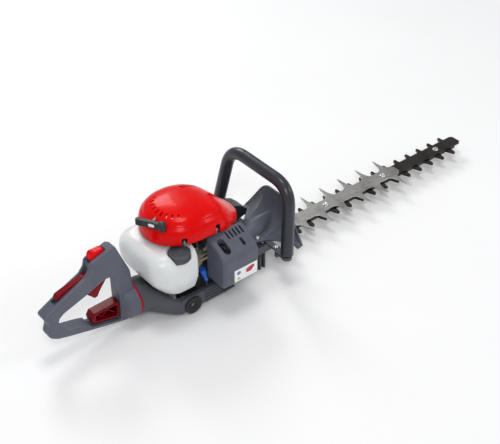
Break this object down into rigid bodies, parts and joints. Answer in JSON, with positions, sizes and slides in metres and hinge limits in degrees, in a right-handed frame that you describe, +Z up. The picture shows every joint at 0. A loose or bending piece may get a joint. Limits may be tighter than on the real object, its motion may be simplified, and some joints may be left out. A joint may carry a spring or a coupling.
{
  "type": "petrol hedge trimmer",
  "caption": "Petrol hedge trimmer with a double-sided reciprocating blade, a loop front handle, a hand guard and a swivelling rear D handle with trigger.",
  "frame": {"origin": "centre of the bounding box's bottom face, on the floor", "axes": "+X forward along the blades, +Y to the operator's left, +Z up"},
  "size_m": [1.075, 0.2388, 0.2212],
  "materials": {
    "frame_plastic": "fine moulded texture",
    "case_grey": "satin paint on die-cast aluminium",
    "cast_aluminium": "as cast",
    "bright_steel": "zinc plated",
    "black_rubber": "matt rubber",
    "ceramic": "glazed",
    "coil_plastic": "potted coil",
    "insulator": "phenolic",
    "black_plastic": "moulded",
    "filter_foam": "open foam",
    "cover_grey": "fine moulded texture",
    "label": "printed film",
    "hot_metal": "heat-tinted steel",
    "tank_white": "translucent polyethylene",
    "blue_sleeve": "soft vinyl",
    "cover_red": "high gloss",
    "black_steel": "blackened steel",
    "guard_steel": "ground steel",
    "handle_coat": "satin moulded sleeve",
    "grip_grey": "fine moulded texture",
    "trigger_red": "translucent red",
    "switch_red": "gloss",
    "bulb": "clear rubber",
    "rope": "braided",
    "dark_steel": "machined steel"
  },
  "bodies": {
    "engine_unit": {"frame": "frame_plastic", "av_buffers": "black_rubber", "av_bolts": "bright_steel", "gearcase_lower": "case_grey", "gearcase_upper": "case_grey", "gearcase_screws": "bright_steel", "shaft_bearings": "bright_steel", "clutch_housing": "case_grey", "crankcase": "cast_aluminium", "engine_cylinder": "cast_aluminium", "spark_plug": "ceramic", "plug_boot": "black_rubber", "plug_lead": "black_rubber", "ignition_coil": "coil_plastic", "intake_insulator": "insulator", "carburetor": "cast_aluminium", "air_filter_base": "black_plastic", "air_filter_element": "filter_foam", "air_filter_cover": "cover_grey", "cover_label": "label", "muffler": "hot_metal", "muffler_guard": "black_plastic", "fuel_tank": "tank_white", "fuel_lines": "black_rubber", "stop_connector": "blue_sleeve", "starter_cover": "cover_red", "cylinder_shroud": "cover_red", "cover_screws": "black_plastic", "recoil_spring": "coil_plastic", "support_bar": "black_steel", "tooth_guard": "guard_steel", "blade_bolts": "bright_steel", "hand_guard": "cover_grey", "guard_screws": "bright_steel", "front_handle": "handle_coat", "handle_bracket": "frame_plastic", "bracket_bolts": "bright_steel"},
    "rear_handle": {"rear_handle_left": "grip_grey", "rear_handle_right": "grip_grey", "rear_handle_screws": "bright_steel", "swivel_ring": "trigger_red", "trigger_pins": "bright_steel"},
    "throttle_trigger": {"throttle_trigger": "trigger_red"},
    "throttle_lock": {"throttle_lock": "trigger_red"},
    "stop_switch": {"stop_switch": "switch_red"},
    "swivel_lock_trigger": {"swivel_lock_trigger": "trigger_red"},
    "fuel_cap": {"fuel_cap": "black_plastic"},
    "choke_lever": {"choke_lever": "black_plastic"},
    "primer_bulb": {"primer_bulb": "bulb"},
    "starter_grip": {"starter_grip": "black_plastic", "starter_rope": "rope"},
    "starter_reel": {"starter_reel": "coil_plastic"},
    "crank_train": {"crankshaft": "dark_steel", "flywheel": "dark_steel", "clutch_shoes": "dark_steel"},
    "clutch_drum": {"clutch_drum": "dark_steel"},
    "cam_gear": {"cam_gear": "dark_steel"},
    "upper_blade": {"upper_blade": "black_steel"},
    "lower_blade": {"lower_blade": "black_steel"},
    "piston": {"piston": "cast_aluminium"}
  },
  "joints": [
    {"name": "handle_swivel", "type": "hinge", "parent": "engine_unit", "child": "rear_handle", "pos_m": [-0.3495, 0, 0.049], "axis": [1, 0, 0], "range_deg": [-90, 90]},
    {"name": "throttle_trigger_pivot", "type": "hinge", "parent": "rear_handle", "child": "throttle_trigger", "pos_m": [-0.4035, 0, 0.142], "axis": [0, 1, 0], "range_deg": [0, 11], "stiffness_Nm_per_rad": 0.25, "springref_deg": -17.19},
    {"name": "throttle_lock_pivot", "type": "hinge", "parent": "rear_handle", "child": "throttle_lock", "pos_m": [-0.4395, 0, 0.147], "axis": [0, -1, 0], "range_deg": [0, 5], "stiffness_Nm_per_rad": 0.25, "springref_deg": -17.19},
    {"name": "stop_switch_rock", "type": "hinge", "parent": "rear_handle", "child": "stop_switch", "pos_m": [-0.41644, 0, 0.18514], "axis": [0, 1, 0], "range_deg": [0, 10]},
    {"name": "swivel_lock_slide", "type": "slide", "parent": "rear_handle", "child": "swivel_lock_trigger", "axis": [-1, 0, 0], "range_m": [0, 0.004], "stiffness_N_per_m": 900, "springref_m": -0.004},
    {"name": "cap_turn", "type": "hinge", "parent": "engine_unit", "child": "fuel_cap", "pos_m": [-0.2775, -0.058, 0.149], "axis": [0, 0, 1], "range_deg": [0, 120]},
    {"name": "choke_turn", "type": "hinge", "parent": "engine_unit", "child": "choke_lever", "pos_m": [-0.1965, -0.0823, 0.138], "axis": [0, 0, 1], "range_deg": [0, 70]},
    {"name": "primer_press", "type": "slide", "parent": "engine_unit", "child": "primer_bulb", "axis": [1, 0, 0], "range_m": [0, 0.003], "stiffness_N_per_m": 900},
    {"name": "starter_pull", "type": "slide", "parent": "engine_unit", "child": "starter_grip", "axis": [-0.8746, -0.4848, 0], "range_m": [0, 0.055], "stiffness_N_per_m": 60, "springref_m": -0.05},
    {"name": "reel_spin", "type": "hinge", "parent": "engine_unit", "child": "starter_reel", "pos_m": [-0.2275, 0, 0.1995], "axis": [0, 0, 1], "range_deg": [0, 113]},
    {"name": "crank_spin", "type": "hinge", "parent": "engine_unit", "child": "crank_train", "pos_m": [-0.2275, 0, 0.101], "axis": [0, 0, 1], "continuous": true},
    {"name": "piston_slide", "type": "slide", "parent": "engine_unit", "child": "piston", "axis": [-1, 0, 0], "range_m": [0, 0.028]},
    {"name": "cam_turn", "type": "hinge", "parent": "engine_unit", "child": "cam_gear", "pos_m": [-0.185, 0, 0.037], "axis": [0, 0, 1], "range_deg": [-90, 90]},
    {"name": "drum_spin", "type": "hinge", "parent": "engine_unit", "child": "clutch_drum", "pos_m": [-0.2275, 0, 0.037], "axis": [0, 0, 1], "range_deg": [-421, 421]},
    {"name": "upper_blade_slide", "type": "slide", "parent": "engine_unit", "child": "upper_blade", "axis": [1, 0, 0], "range_m": [-0.0088, 0.0088]},
    {"name": "lower_blade_slide", "type": "slide", "parent": "engine_unit", "child": "lower_blade", "axis": [1, 0, 0], "range_m": [-0.0088, 0.0088]}
  ],
  "couplings": [
    {"joint": "reel_spin", "follows": "starter_pull", "rad_per_m": 35.714},
    {"joint": "drum_spin", "follows": "cam_turn", "ratio": -4.6667},
    {"joint": "upper_blade_slide", "follows": "cam_turn", "m_per_rad": 0.00557},
    {"joint": "lower_blade_slide", "follows": "cam_turn", "m_per_rad": -0.00557}
  ]
}
